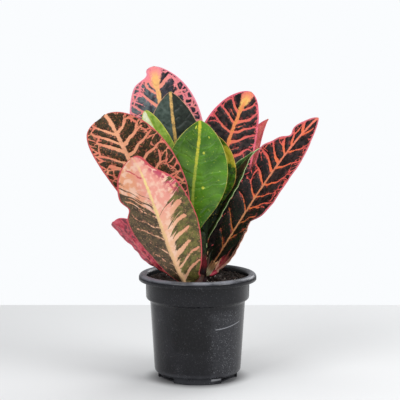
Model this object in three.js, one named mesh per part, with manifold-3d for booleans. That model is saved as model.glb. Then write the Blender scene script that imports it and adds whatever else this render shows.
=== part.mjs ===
// A potted croton: a 12 cm nursery pot, the soil in it, a short stem and the leaves round it.
// Millimetres, +Z up. The origin is the middle of the pot's flat base, on the surface it stands on.
// The leaves face the viewer from -Y, and +X is to the viewer's right.

import * as THREE from "three";
import { mergeVertices } from "three/addons/utils/BufferGeometryUtils.js";
import Module from "manifold-3d";

const wasm = await Module();
wasm.setup();

// Driving dimensions of the pot.
const POT_HEIGHT = 108;
const RIM_RADIUS = 60;
const RIM_DROP = 7; // how far the rolled rim hangs down outside
const COLLAR_RADIUS = 52.6;
const COLLAR_DROP = 25; // from the top down to the step
const BODY_TOP_RADIUS = 48.4;
const BODY_FOOT_RADIUS = 44.3;
const FOOT_RADIUS = 40.5;
const FOOT_HEIGHT = 7;
const WALL = 1.5;
const NOTCH_ANGLES = [60, 180, 300]; // degrees from the front, seen from above
const NOTCH_WIDTH = 32;
const NOTCH_HEIGHT = 5;
const ROUND_SIDES = 48;

// Driving dimensions of what stands in it.
const GAP = 0.3; // between two pieces that touch
const SOIL_DROP = 6; // from the top of the pot to the soil
const SOIL_LEVEL = POT_HEIGHT - SOIL_DROP;
const SOIL_FOOT_RADIUS = 33; // it leaves the corner behind the drainage notches empty
const STEM_X = 5; // the plant stands a little right of the pot's middle
const STEM_FOOT = 55; // height of the lowest point of the stem, in the soil
const STEM_TOP = 150;
const STEM_RADIUS = 5;
const STEM_TIP_RADIUS = 3.4;
const STEM_RINGS = [105, 116, 127, 138, 146]; // heights at which the stem narrows
const HOLE_RADIUS = STEM_RADIUS + GAP;
const HOLLOW = { x: -5, y: -21, depth: 12, spread: 13 }; // in the soil, under the front leaf
const BLADE_THICKNESS = 0.8;
const STALK_RADIUS = 1.8;
const ROWS = 14; // steps along a blade
const STALK_ROWS = 3;
const RIDGE_REACH = 2.2; // how far the rib's ridge spreads to either side under the blade
const COLUMNS = [-1, -0.68, -0.32, 0, 0.32, 0.68, 1]; // from the left margin to the right one

const degrees = THREE.MathUtils.degToRad;

const FINISH = {
  pot: { color: 0x26262a, roughness: 0.42, metalness: 0 },
  soil: { color: 0x1c1512, roughness: 0.95, metalness: 0 },
  stem: { color: 0x4a2d26, roughness: 0.7, metalness: 0 },
  dark: { color: 0x3a2a2c, roughness: 0.35, metalness: 0 },
  olive: { color: 0x6a4a35, roughness: 0.4, metalness: 0 },
  pink: { color: 0xc98a72, roughness: 0.5, metalness: 0 },
  crimson: { color: 0xb03048, roughness: 0.5, metalness: 0 },
  coral: { color: 0xd8525a, roughness: 0.5, metalness: 0 },
  green: { color: 0x4f9a2e, roughness: 0.3, metalness: 0 },
  deepGreen: { color: 0x22402a, roughness: 0.32, metalness: 0 },
};

// A leaf's rib leaves the stem at an angle and a height, and passes three places: a third of the way
// along, two thirds along, and the tip. Each half of the blade has its greatest width, where along
// the blade that lies, and how blunt the tip is, a small number being blunt. The upper side faces an
// azimuth and an elevation at the base and others at the tip. Fold lifts each half from the rib and
// curl bends it on towards its margin. A wave has a height, a count and a start, and a bite takes a
// share of one half's width at a place along it, or adds one where it is below 0.
const LEAVES = [
  {
    name: "leaf_front_left", finish: "pink", leaves: [-110, 105], stalk: 32,
    rib: [[-16.5, -40, 113], [-41, -52, 179], [-64, -60, 232]],
    halves: [[36, 0.5, 0.6], [32.5, 0.65, 0.46]],
    face: [[95, 60], [100, 12]], fold: [12, 10], wave: [2, 2.5, 0.1],
    bites: [[1, 0.66, 0.2, 0.05], [0, 0.9, 0.43, 0.095], [0, 0.03, -0.4, 0.03]],
  },
  {
    name: "leaf_left", finish: "olive", leaves: [165, 114], stalk: 14,
    rib: [[-32, -17, 151], [-63, -28, 216], [-91, -34, 272]],
    halves: [[32, 0.84, 0.22], [44, 0.56, 0.6]],
    face: [[-94, 50], [-80, 10]], fold: [8, 9], wave: [1.5, 2, 0],
  },
  {
    name: "leaf_low_left", finish: "crimson", leaves: [185, 110], stalk: 12,
    rib: [[-36, 0, 112], [-59, 0, 134], [-86, -2, 160]],
    halves: [[30, 0.72, 0.35], [17, 0.78, 0.25]],
    face: [[48, 42], [45, 42]], fold: [5, 5], wave: [0.8, 3, 0],
  },
  {
    name: "leaf_back_left", finish: "dark", leaves: [160, 120], stalk: 16,
    rib: [[-16, 30, 184], [-33, 48, 250], [-46, 64, 315]],
    halves: [[37.5, 0.58, 0.52], [39.5, 0.66, 0.68]],
    face: [[-90, 40], [-88, 15]], fold: [6, 6], wave: [1.5, 2, 0],
    bites: [[0, 0.955, 0.46, 0.032]],
  },
  {
    name: "leaf_dark_green", finish: "deepGreen", leaves: [128, 132], stalk: 14,
    rib: [[-12, 16, 181], [-22, 22, 236], [-28, 26, 291]],
    halves: [[33, 0.52, 0.75], [31, 0.52, 0.75]],
    face: [[-90, 30], [-90, 10]], fold: [8, 8], wave: [0.6, 2, 0],
  },
  {
    name: "leaf_young", finish: "green", leaves: [178, 139], stalk: 10,
    rib: [[-11, 8, 182], [-32, 9, 231], [-53, 9, 273]],
    halves: [[13, 0.7, 0.5], [11.5, 0.66, 0.6]],
    face: [[-90, 30], [-100, 10]], fold: [16, 16], wave: [0.5, 2, 0],
  },
  {
    name: "leaf_centre", finish: "green", leaves: [-85, 144], stalk: 8,
    rib: [[-5, -1, 176], [-1, -3, 224], [2, -4, 264]],
    halves: [[29, 0.56, 0.75], [33.5, 0.52, 0.76]],
    face: [[-90, 20], [-90, 5]], fold: [6, 6], wave: [0.6, 2, 0],
  },
  {
    name: "leaf_behind_centre", finish: "green", leaves: [25, 139], stalk: 10,
    rib: [[11, 8, 169], [16, 11, 212], [11, 12, 250]],
    halves: [[14, 0.5, 0.7], [24, 0.56, 0.8]],
    face: [[-90, 20], [-90, 10]], fold: [6, 6], wave: [0.6, 2, 0],
    bites: [[1, 0.28, 0.35, 0.16]],
  },
  {
    name: "leaf_curled", finish: "deepGreen", leaves: [58, 125], stalk: 10,
    rib: [[10, 18, 150.5], [29, 28.5, 194], [65, 28, 233]],
    halves: [[12, 0.4, 0.9], [30, 0.56, 0.75]],
    face: [[-142, 20], [170, 10]], turn: 5, fold: [10, 10], curl: [10, 10], wave: [0.6, 2, 0],
  },
  {
    name: "leaf_back_right", finish: "dark", leaves: [100, 117], stalk: 16,
    rib: [[17, 40, 175], [32, 60, 235], [56, 70, 288]],
    halves: [[33, 0.6, 0.68], [30, 0.55, 0.5]],
    face: [[-90, 40], [-80, 15]], fold: [6, 12], wave: [1, 2, 0],
  },
  {
    name: "leaf_red_back", finish: "coral", leaves: [45, 112], stalk: 14,
    rib: [[25, 54, 170], [50, 76, 220], [75, 86, 258]],
    halves: [[16, 0.55, 0.7], [26, 0.45, 1.3]],
    face: [[-120, 40], [-120, 20]], fold: [10, 10], wave: [0.8, 2, 0],
  },
  {
    name: "leaf_right", finish: "dark", leaves: [-42, 107], stalk: 14,
    rib: [[36.5, -12, 152], [77, -14, 215], [121, -12, 267]],
    halves: [[23, 0.48, 0.66], [34, 0.56, 0.78]],
    face: [[-120, 40], [-124, 15]], fold: [4, 24], wave: [1, 3, 0],
    bites: [[0, 0.83, 0.36, 0.03], [0, 0.68, -0.36, 0.07], [1, 0.31, 0.35, 0.06]],
  },
  {
    name: "leaf_low_right", finish: "coral", leaves: [14, 107], stalk: 12,
    rib: [[25, 11, 115], [42, 19, 143], [58, 25, 180]],
    halves: [[14, 0.5, 0.6], [12, 0.4, 0.7]],
    face: [[-140, 50], [-140, 30]], fold: [10, 10], wave: [0.6, 2, 0],
  },
  {
    name: "leaf_rear_left", finish: "dark", leaves: [140, 111], stalk: 14,
    rib: [[-16, 36, 146], [-34, 64, 190], [-50, 80, 230]],
    halves: [[30, 0.57, 0.6], [27, 0.62, 0.55]],
    face: [[-85, 60], [-85, 35]], fold: [8, 8], wave: [1.5, 2, 0],
  },
  {
    name: "leaf_rear_right", finish: "dark", leaves: [85, 106], stalk: 12,
    rib: [[8, 41, 135], [12, 73, 175], [14, 92, 215]],
    halves: [[26, 0.42, 0.8], [28, 0.38, 0.85]],
    face: [[-96, 60], [-98, 35]], fold: [8, 8], wave: [1.5, 2, 0.3],
  },
];

// A closed geometry as a solid that can be cut, and back.
function solidOf(geometry) {
  const bare = geometry.clone();
  bare.deleteAttribute("normal");
  bare.deleteAttribute("uv");
  const merged = mergeVertices(bare, 1e-3);
  return new wasm.Manifold(
    new wasm.Mesh({
      numProp: 3,
      vertProperties: merged.attributes.position.array,
      triVerts: new Uint32Array(merged.index.array),
    }),
  );
}

function geometryOf(solid) {
  const { vertProperties, triVerts } = solid.getMesh();
  const geometry = new THREE.BufferGeometry();
  geometry.setAttribute("position", new THREE.BufferAttribute(vertProperties, 3));
  geometry.setIndex(new THREE.BufferAttribute(triVerts, 1));
  geometry.computeVertexNormals();
  return geometry;
}

// A profile of [radius, height] pairs turned round +Z. The profile runs up the outside and back
// down the inside.
function turned(profile, sides) {
  const points = profile.map(([radius, height]) => new THREE.Vector2(radius, height));
  return new THREE.LatheGeometry(points, sides).rotateX(Math.PI / 2);
}

// Points on an upright half ellipse, from one end to the other over its top.
function arch(middle, foot, reach, rise, steps, fromRight) {
  const points = [];
  for (let i = 0; i <= steps; i++) {
    const angle = (Math.PI * i) / steps;
    const side = fromRight ? Math.cos(angle) : -Math.cos(angle);
    points.push([middle + reach * side, foot + rise * Math.sin(angle)]);
  }
  return points;
}

// The pot's inner wall, or that of what fills it, from the lip down to the middle of the floor.
const STEP_HEIGHT = POT_HEIGHT - COLLAR_DROP;
const LIP_REACH = (RIM_RADIUS - COLLAR_RADIUS + WALL) / 2 - 0.2;
const LIP_MIDDLE = RIM_RADIUS - LIP_REACH;
const LIP_RISE = 4;
const LIP_FOOT = POT_HEIGHT - LIP_RISE;

function innerWall(gap, footRadius) {
  const inset = WALL + gap;
  return [
    [COLLAR_RADIUS - inset, STEP_HEIGHT + 1.5 + gap],
    [BODY_TOP_RADIUS - inset + 0.4, STEP_HEIGHT - 1 + gap],
    [BODY_TOP_RADIUS - inset, STEP_HEIGHT - 5],
    [BODY_FOOT_RADIUS - inset, FOOT_HEIGHT + 3.5 + gap],
    [BODY_FOOT_RADIUS - inset - 1, FOOT_HEIGHT + inset],
    [footRadius, FOOT_HEIGHT + inset],
    [footRadius, inset],
    [0, inset],
  ];
}

function makePot() {
  const profile = [
    [0, 0],
    [FOOT_RADIUS - 0.8, 0],
    [FOOT_RADIUS, 0.8],
    [FOOT_RADIUS, FOOT_HEIGHT],
    [BODY_FOOT_RADIUS - 2.3, FOOT_HEIGHT],
    [BODY_FOOT_RADIUS - 0.6, FOOT_HEIGHT + 1.1],
    [BODY_FOOT_RADIUS, FOOT_HEIGHT + 3.5],
    [BODY_TOP_RADIUS, STEP_HEIGHT - 5],
    [BODY_TOP_RADIUS + 0.8, STEP_HEIGHT - 2.2],
    [COLLAR_RADIUS - 0.4, STEP_HEIGHT - 0.6],
    [COLLAR_RADIUS, STEP_HEIGHT + 1],
    ...arch(LIP_MIDDLE, LIP_FOOT, LIP_REACH - WALL, LIP_RISE - WALL, 5, false),
    [RIM_RADIUS - WALL, POT_HEIGHT - RIM_DROP + 0.4],
    [RIM_RADIUS - 0.6, POT_HEIGHT - RIM_DROP],
    [RIM_RADIUS, POT_HEIGHT - RIM_DROP + 0.8],
    ...arch(LIP_MIDDLE, LIP_FOOT, LIP_REACH, LIP_RISE, 7, true),
    ...innerWall(0, FOOT_RADIUS - WALL),
  ];
  let pot = solidOf(turned(profile, ROUND_SIDES));
  for (const angle of NOTCH_ANGLES) {
    const cutter = new THREE.BoxGeometry(NOTCH_WIDTH, 12, NOTCH_HEIGHT + 1);
    cutter.translate(0, -FOOT_RADIUS, (NOTCH_HEIGHT - 1) / 2);
    cutter.rotateZ(degrees(angle));
    pot = pot.subtract(solidOf(cutter));
  }
  return geometryOf(pot);
}

// The soil's top: fine lumps, and a shallow hollow towards the front, under the front leaf.
function soilHeight(x, y) {
  const lumps =
    0.5 * Math.sin(0.42 * x + 1.3) * Math.cos(0.37 * y + 0.4) + 0.35 * Math.sin(0.8 * x - 0.61 * y);
  const away = Math.hypot(x - HOLLOW.x, y - HOLLOW.y) / HOLLOW.spread;
  return SOIL_LEVEL + lumps - HOLLOW.depth * Math.exp(-(away ** 2) / 2);
}

function makeSoil() {
  const outer = COLLAR_RADIUS - WALL - GAP;
  const rings = [0, 8, 15, 22, 29, 36, 43, outer].reverse();
  const side = innerWall(GAP, SOIL_FOOT_RADIUS).reverse();
  const profile = side.concat(rings.map((radius) => [radius, SOIL_LEVEL]));
  const soil = turned(profile, ROUND_SIDES);
  const place = soil.attributes.position;
  for (let i = 0; i < place.count; i++) {
    if (place.getZ(i) > SOIL_LEVEL - 1) {
      place.setZ(i, soilHeight(place.getX(i), place.getY(i)));
    }
  }
  const hole = turned(
    [[0, STEM_FOOT - GAP], [HOLE_RADIUS, STEM_FOOT - GAP], [HOLE_RADIUS, POT_HEIGHT], [0, POT_HEIGHT]],
    16,
  ).translate(STEM_X, 0, 0);
  return geometryOf(solidOf(soil).subtract(solidOf(hole)));
}

// The stem narrows from the soil to its tip.
function stemRadius(height) {
  const share = THREE.MathUtils.clamp((height - STEM_RINGS[0]) / (STEM_TOP - STEM_RINGS[0]), 0, 1);
  return THREE.MathUtils.lerp(STEM_RADIUS, STEM_TIP_RADIUS, share);
}

function makeStem(grow) {
  const top = STEM_TOP + grow;
  const profile = [[0, STEM_FOOT - grow], [STEM_RADIUS + grow, STEM_FOOT - grow]];
  for (const height of STEM_RINGS) {
    profile.push([stemRadius(height) + grow, height]);
  }
  profile.push([STEM_TIP_RADIUS - 1.5 + grow, top - 0.6], [0, top]);
  return turned(profile, 16).translate(STEM_X, 0, 0);
}

function facing([azimuth, elevation]) {
  const a = degrees(azimuth);
  const e = degrees(elevation);
  return new THREE.Vector3(Math.cos(e) * Math.cos(a), Math.cos(e) * Math.sin(a), Math.sin(e));
}

// A cubic curve that passes its four points at 0, 1/3, 2/3 and 1.
function curveThrough(points) {
  const [a, p, q, b] = points.map((point) => new THREE.Vector3(...point));
  const mix = (...shares) =>
    [a, p, q, b].reduce((sum, v, i) => sum.addScaledVector(v, shares[i] / 6), new THREE.Vector3());
  return new THREE.CubicBezierCurve3(a, mix(-5, 18, -9, 2), mix(2, -9, 18, -5), b);
}

// Half of a blade's width at a place along it, 0 at the stalk and 1 at the tip.
function halfWidth(leaf, hand, along) {
  const [width, widest, tip] = leaf.halves[hand];
  const base = (tip * widest) / (1 - widest);
  let half = width * (along / widest) ** base * ((1 - along) / (1 - widest)) ** tip;
  for (const [side, place, depth, span] of leaf.bites ?? []) {
    if (side === hand) {
      half *= 1 - depth * Math.exp(-(((along - place) / span) ** 2));
    }
  }
  return Math.max(half, STALK_RADIUS * (1 - along) + 0.5 * along);
}

// How far a place on a half blade lies from the rib, sideways and towards the upper side, after the
// half is folded up at the rib and curled on towards its margin.
function foldedAway(reach, fold, curl, width) {
  if (Math.abs(curl) < 1e-4) {
    return [reach * Math.cos(fold), reach * Math.sin(fold), fold];
  }
  const bend = curl / width;
  const slope = fold + bend * reach;
  return [(Math.sin(slope) - Math.sin(fold)) / bend, (Math.cos(fold) - Math.cos(slope)) / bend, slope];
}

// One section of a leaf: the upper row from left to right, then the lower row back.
function leafSection(leaf, curve, length, along, stalkShare) {
  const distance = along > 0 ? leaf.stalk + along * (length - leaf.stalk) : leaf.stalk * stalkShare;
  const place = curve.getPointAt(Math.min(distance / length, 1));
  const forward = curve.getTangentAt(Math.min(distance / length, 1));
  const face = facing(leaf.face[0]).lerp(facing(leaf.face[1]), along ** (leaf.turn ?? 1));
  face.addScaledVector(forward, -face.dot(forward)).normalize();
  const side = new THREE.Vector3().crossVectors(forward, face);
  const [height, count, start] = leaf.wave;
  const upper = [];
  const lower = [];
  for (const across of COLUMNS) {
    const hand = across > 0 ? 1 : 0;
    const sign = across > 0 ? 1 : -1;
    const reach = Math.abs(across) * halfWidth(leaf, hand, along);
    const fold = degrees(leaf.fold[hand]);
    const curl = degrees((leaf.curl ?? [0, 0])[hand]);
    const [out, up, slope] = foldedAway(reach, fold, curl, leaf.halves[hand][0]);
    const wave =
      height * across ** 2 * Math.sin(2 * Math.PI * (count * along + start + 0.4 * hand)) *
      Math.sqrt(Math.sin(Math.PI * along) + 1e-9);
    const middle = place.clone().addScaledVector(side, sign * out).addScaledVector(face, up + wave);
    const normal = face.clone().multiplyScalar(Math.cos(slope));
    if (across !== 0) {
      normal.addScaledVector(side, -sign * Math.sin(slope));
    }
    const ridge = 2 * STALK_RADIUS * (1 - along) ** 1.5 * Math.exp(-((reach / RIDGE_REACH) ** 2));
    upper.push(middle.clone().addScaledVector(normal, BLADE_THICKNESS / 2));
    lower.unshift(middle.clone().addScaledVector(normal, -BLADE_THICKNESS / 2 - ridge));
  }
  return upper.concat(lower);
}

// Sections joined in a row and closed at both ends. The upper and the lower row of a section are
// split into triangles alike, so that a thin waved blade never meets itself.
function loft(sections) {
  const size = sections[0].length;
  const columns = size / 2;
  const index = [];
  const quad = (a, b, c, d, flipped) =>
    flipped ? index.push(a, b, d, b, c, d) : index.push(a, b, c, a, c, d);
  for (let i = 0; i + 1 < sections.length; i++) {
    for (let k = 0; k < size; k++) {
      const next = (k + 1) % size;
      const [low, high] = [i * size, (i + 1) * size];
      quad(low + k, low + next, high + next, high + k, k >= columns);
    }
  }
  const last = (sections.length - 1) * size;
  for (let j = 0; j + 1 < columns; j++) {
    const ring = [j, j + 1, size - 2 - j, size - 1 - j];
    quad(...ring.map((k) => last + k), false);
    quad(...ring.reverse(), false);
  }
  const geometry = new THREE.BufferGeometry().setFromPoints(sections.flat());
  geometry.setIndex(index);
  return geometry;
}

function makeLeaf(leaf, stemRoom) {
  const [azimuth, height] = leaf.leaves;
  const start = facing([azimuth, 0]).multiplyScalar(stemRadius(height));
  const curve = curveThrough([[STEM_X + start.x, start.y, height], ...leaf.rib]);
  const length = curve.getLength();
  const sections = [];
  for (let i = 0; i < STALK_ROWS; i++) {
    sections.push(leafSection(leaf, curve, length, 0, i / STALK_ROWS));
  }
  for (let i = 0; i <= ROWS; i++) {
    const along = 1 - (1 - i / ROWS) ** 1.5;
    sections.push(leafSection(leaf, curve, length, along, 1));
  }
  return geometryOf(solidOf(loft(sections)).subtract(stemRoom));
}

function named(name, geometry, finish) {
  const mesh = new THREE.Mesh(geometry, new THREE.MeshStandardMaterial(FINISH[finish]));
  mesh.name = name;
  return mesh;
}

const croton = new THREE.Group();
croton.name = "potted_croton";
croton.add(named("pot", makePot(), "pot"));
croton.add(named("soil", makeSoil(), "soil"));
croton.add(named("stem", makeStem(0), "stem"));

const foliage = new THREE.Group();
const stemRoom = solidOf(makeStem(GAP));
for (const leaf of LEAVES) {
  foliage.add(named(leaf.name, makeLeaf(leaf, stemRoom), leaf.finish));
}
croton.add(foliage);

export default croton;
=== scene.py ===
# %% [markdown]
# # A croton in a nursery pot
# A croton is a house plant grown for its leaves. Each one is a stiff, waved blade on a stalk, and between its
# bright veins lie patches so dark that they look black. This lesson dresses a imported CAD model: the model
# fixes where everything stands, and each cell below replaces one plain solid by a finer piece of the same
# form.

import math

import bmesh
import bpy
import numpy as np
from mathutils import Matrix, Vector


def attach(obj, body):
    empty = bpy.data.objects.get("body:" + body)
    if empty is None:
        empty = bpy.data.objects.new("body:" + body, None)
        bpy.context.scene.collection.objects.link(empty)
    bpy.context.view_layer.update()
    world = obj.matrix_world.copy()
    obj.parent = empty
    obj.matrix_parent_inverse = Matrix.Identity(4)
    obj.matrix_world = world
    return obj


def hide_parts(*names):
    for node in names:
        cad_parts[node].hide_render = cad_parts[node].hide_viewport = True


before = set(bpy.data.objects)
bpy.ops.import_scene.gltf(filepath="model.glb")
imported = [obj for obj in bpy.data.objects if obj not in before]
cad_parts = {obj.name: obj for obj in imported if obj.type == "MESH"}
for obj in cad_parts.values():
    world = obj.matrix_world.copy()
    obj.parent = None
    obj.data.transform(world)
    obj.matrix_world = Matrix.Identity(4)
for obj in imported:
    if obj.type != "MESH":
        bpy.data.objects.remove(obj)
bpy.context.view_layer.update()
MM = 0.001

# %% [markdown]
# ## The camera
# A product photograph is taken with a long lens from a few paces away, so the pot's rim is only a thin
# ellipse. A long lens is a large focal length: the photograph's was worked out from that ellipse and from
# where the foot stands. The camera looks along +Y and a little down. Depth of field stays off, so that the
# other views stay sharp.

# %% Place the camera
PHOTO_PIXELS = 400
FOCAL_PIXELS = 1590
SENSOR_WIDTH = 36
CAMERA_PLACE = Vector((2.4, -1600, 391)) * MM
CAMERA_DROP = 7.42  # degrees below level

lens = bpy.data.cameras.new("camera")
lens.sensor_width = SENSOR_WIDTH
lens.lens = FOCAL_PIXELS * SENSOR_WIDTH / PHOTO_PIXELS
camera = bpy.data.objects.new("camera", lens)
camera.location = CAMERA_PLACE
camera.rotation_euler = (math.radians(90 - CAMERA_DROP), 0, 0)
bpy.context.scene.collection.objects.link(camera)
bpy.context.scene.camera = camera
print("focal length:", round(lens.lens, 1), "mm")

# %% [markdown]
# ## Wiring materials
# A procedural material is a net of small nodes. Adding and linking each by hand fills pages, so a few helpers
# do it. `feed` sets or links a node's inputs, `wire` adds a node, and a `Value` is a node's output that can
# be reckoned with like a number. A colour is written as the eye reads it on a screen, from 0 to 255, and is
# turned into light here.


# %% Values
class Value:
    """A node's output. Sums and products with it become Math nodes."""

    def __init__(self, socket):
        self.socket = socket
        self.tree = socket.id_data

    def calc(self, operation, *others):
        places = dict(enumerate((self, *others)))
        return wire(self.tree, "ShaderNodeMath", places, operation=operation)

    def __add__(self, other):
        return self.calc("ADD", other)

    def __sub__(self, other):
        return self.calc("SUBTRACT", other)

    def __mul__(self, other):
        return self.calc("MULTIPLY", other)

    def ramp(self, start, end, low=0.0, high=1.0):
        """A soft step from low to high while the value goes from start to end."""
        places = {0: self, 1: start, 2: end, 3: low, 4: high}
        return wire(self.tree, "ShaderNodeMapRange", places, interpolation_type="SMOOTHSTEP")

    def parts(self):
        """The X, Y and Z of a vector."""
        return [wire(self.tree, "ShaderNodeSeparateXYZ", {0: self}, output=i) for i in range(3)]


# %% Material helpers
def shade(tone):
    """A screen colour as the linear light that a shader wants."""
    shares = [part / 255 for part in tone]
    return [s / 12.92 if s <= 0.04045 else ((s + 0.055) / 1.055) ** 2.4 for s in shares] + [1]


def new_material(name):
    material = bpy.data.materials.new(name)
    material.use_nodes = True
    return material, material.node_tree, material.node_tree.nodes["Principled BSDF"]


def feed(node, inputs):
    """Links a node's inputs to values, or sets them to plain numbers."""
    for place, value in inputs.items():
        if isinstance(value, Value):
            value.tree.links.new(value.socket, node.inputs[place])
        else:
            node.inputs[place].default_value = value


def wire(tree, kind, inputs, output=0, **settings):
    """Adds a node, feeds it, and gives back one of its outputs."""
    node = tree.nodes.new(kind)
    for name, value in settings.items():
        setattr(node, name, value)
    feed(node, inputs)
    return Value(node.outputs[output])


def blend(share, a, b):
    """Colour a where share is 0, and colour b where it is 1. Either may be a screen colour."""
    a, b = [tone if isinstance(tone, Value) else shade(tone) for tone in (a, b)]
    return wire(share.tree, "ShaderNodeMix", {0: share, 6: a, 7: b}, output=2, data_type="RGBA")


def grain(where, size, detail=2.0, seed=0.0):
    """Noise from 0 to 1 whose lumps are about that many millimetres across."""
    inputs = {"Vector": where, "W": seed, "Scale": 1 / size, "Detail": detail}
    return wire(where.tree, "ShaderNodeTexNoise", inputs, noise_dimensions="4D")


def relief(height, depth):
    """Bumps of that depth, in millimetres, where height is 1."""
    inputs = {"Height": height, "Distance": depth * MM, "Strength": 1.0}
    return wire(height.tree, "ShaderNodeBump", inputs)


def millimetres(tree):
    """The place on the object in millimetres."""
    where = wire(tree, "ShaderNodeTexCoord", {}, output="Object")
    return wire(tree, "ShaderNodeVectorMath", {0: where, "Scale": 1 / MM}, operation="SCALE")


# %% [markdown]
# ## Pieces
# A piece keeps its object at the origin and its place in its mesh, rides on the model's one body, and stands
# for the CAD nodes that it replaces. One function does all of that for every piece.


# %% Add a piece
def new_piece(name, mesh, nodes, materials, smooth=True):
    """A mesh object that stands for those CAD nodes."""
    piece = bpy.data.objects.new(name, mesh)
    bpy.context.scene.collection.objects.link(piece)
    for material in materials:
        mesh.materials.append(material)
    if smooth:
        mesh.polygons.foreach_set("use_smooth", np.ones(len(mesh.polygons), bool))
    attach(piece, "root")
    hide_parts(*nodes)
    return piece


def mesh_of(bm, name):
    mesh = bpy.data.meshes.new(name)
    bm.to_mesh(mesh)
    bm.free()
    return mesh


def turned(profile, steps):
    """A closed bmesh of a profile of (radius, height) pairs, in millimetres, spun round the Z axis."""
    bm = bmesh.new()
    ring = [bm.verts.new((radius * MM, 0, height * MM)) for radius, height in profile]
    edges = [bm.edges.new(pair) for pair in zip(ring, ring[1:])]
    bmesh.ops.spin(
        bm, geom=ring + edges, cent=(0, 0, 0), axis=(0, 0, 1), angle=2 * math.pi, steps=steps, use_merge=True
    )
    bmesh.ops.remove_doubles(bm, verts=bm.verts, dist=1e-6)
    bmesh.ops.recalc_face_normals(bm, faces=bm.faces)
    return bm


# %% [markdown]
# ## The light
# A pale product picture is lit from large soft boxes on a white sweep. The camera sees the white background,
# but the light that falls from it on the plant is dimmer, or the black pot would turn grey. So the world
# gives one strength to what the camera sees and another to everything else, and area lamps do the rest.

# %% World and lamps
WHITE = (250, 252, 254)
WORLD_LIGHT = 0.3
# Each lamp: place in metres, edge in metres, power in watts.
LAMPS = {
    "key": ((-0.9, -1.1, 1.3), 0.9, 15),
    "fill": ((1.1, -0.7, 0.9), 0.7, 9),
    "top": ((0.1, 0.1, 1.5), 1.0, 9),
    "rim": ((0.8, 1.0, 0.8), 0.8, 6),
}

LAMP_TARGET = Vector((0, 0, 0.15))

scene = bpy.context.scene
scene.view_settings.view_transform = "Standard"
world = bpy.data.worlds.new("studio")
scene.world = world
world.use_nodes = True
sky = world.node_tree
seen = wire(sky, "ShaderNodeLightPath", {}, output="Is Camera Ray")
feed(sky.nodes["Background"], {"Color": shade(WHITE), "Strength": seen.ramp(0, 1, WORLD_LIGHT, 1.0)})

for name, (place, edge, power) in LAMPS.items():
    light = bpy.data.lights.new(name, "AREA")
    light.size = edge
    light.energy = power
    lamp = bpy.data.objects.new(name, light)
    lamp.location = place
    lamp.rotation_euler = (LAMP_TARGET - lamp.location).to_track_quat("-Z", "Y").to_euler()
    scene.collection.objects.link(lamp)

# %% [markdown]
# ## The table
# The pot stands on a pale table whose far edge shows behind it as a faint line. A slab is enough: its far
# edge lies where the camera's line of sight through that pixel row meets the table.

# %% Lay the table
EDGE_ROW = 305  # pixels, where the table's far edge shows
drop = math.radians(CAMERA_DROP) + math.atan((EDGE_ROW - PHOTO_PIXELS / 2) / FOCAL_PIXELS)
table_end = CAMERA_PLACE.y + CAMERA_PLACE.z / math.tan(drop)
TABLE_SIZE = 6.0
TABLE_THICKNESS = 0.02
SHADOW_REACH = (38, 58)  # millimetres from the pot's middle, where the table turns from grey to white

bm = bmesh.new()
middle = Matrix.Translation((0, table_end - TABLE_SIZE / 2, -TABLE_THICKNESS / 2))
size = Matrix.Diagonal((TABLE_SIZE, TABLE_SIZE, TABLE_THICKNESS, 1))
bmesh.ops.create_cube(bm, size=1, matrix=middle @ size)
table = bpy.data.objects.new("table", mesh_of(bm, "table"))
scene.collection.objects.link(table)
material, tree, shader = new_material("table_white")
from_pot = wire(tree, "ShaderNodeVectorMath", {0: millimetres(tree)}, output=1, operation="LENGTH")
# A painted contact shadow: grey round the pot's foot, fading to white further out.
painted_shadow_tone = blend(from_pot.ramp(*SHADOW_REACH), (150, 150, 152), (226, 227, 228))
feed(shader, {"Base Color": painted_shadow_tone, "Roughness": 0.6})
table.data.materials.append(material)
print("the table ends", round(table_end, 3), "m behind the pot's middle")

# %% [markdown]
# ## The pot
# A nursery pot is blown or pressed from thin black plastic: a rolled rim, a collar that stiffens it, a small
# step, a wall that narrows downwards, and an inset foot with drainage notches. It could be a stack of
# cylinders, but one profile spun round the axis gives every rounding at once. The notches are cut with three
# boxes.

# %% Pot measures
POT_HEIGHT = 108
RIM_RADIUS = 60
COLLAR_RADIUS = 52.6
STEP_HEIGHT = 83
BODY_TOP_RADIUS = 48.4
BODY_FOOT_RADIUS = 44.3
FOOT_RADIUS = 40.5
FOOT_HEIGHT = 7
WALL = 1.5
RIM_DROP = 7
LIP_RISE = 4
LIP_REACH = (RIM_RADIUS - COLLAR_RADIUS + WALL) / 2 - 0.2
NOTCH_ANGLES = (60, 180, 300)
NOTCH_SIZE = (32, 12, 6)
POT_STEPS = 168
GROOVES = 12  # rings on the inner wall, under the lip
GROOVE_SPACING = 1.5
GROOVE_DEPTH = 0.25
SCRATCH_FROM, SCRATCH_TO = 17, 41  # a pale curved scratch on the wall
SCRATCH_HEIGHT = 57.5
SCRATCH_BOW = 0.0072
# Stretches of the wall's front, as its left, right, lower and upper ends: dust with a painted sheen over it,
# a painted dark reflection, and a painted glint on the foot.
DUST_AND_SHEEN_WALL = (14, 46, 8, 74)
DARK_REFLECTION_WALL = (-24, 14, 34, 80)
FOOT_GLINT = (14, 23, 3.9, 5.1)
FRONT = (-24, 10)  # where along Y those marks fade out round the sides


def arch(reach, rise, steps, outward):
    """Half an ellipse over the lip, from its outer end to its inner one, or back."""
    points = []
    for i in range(steps + 1):
        angle = math.pi * i / steps
        side = math.cos(angle) if outward else -math.cos(angle)
        height = POT_HEIGHT - LIP_RISE + rise * math.sin(angle)
        points.append((RIM_RADIUS - LIP_REACH + reach * side, height))
    return points


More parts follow.
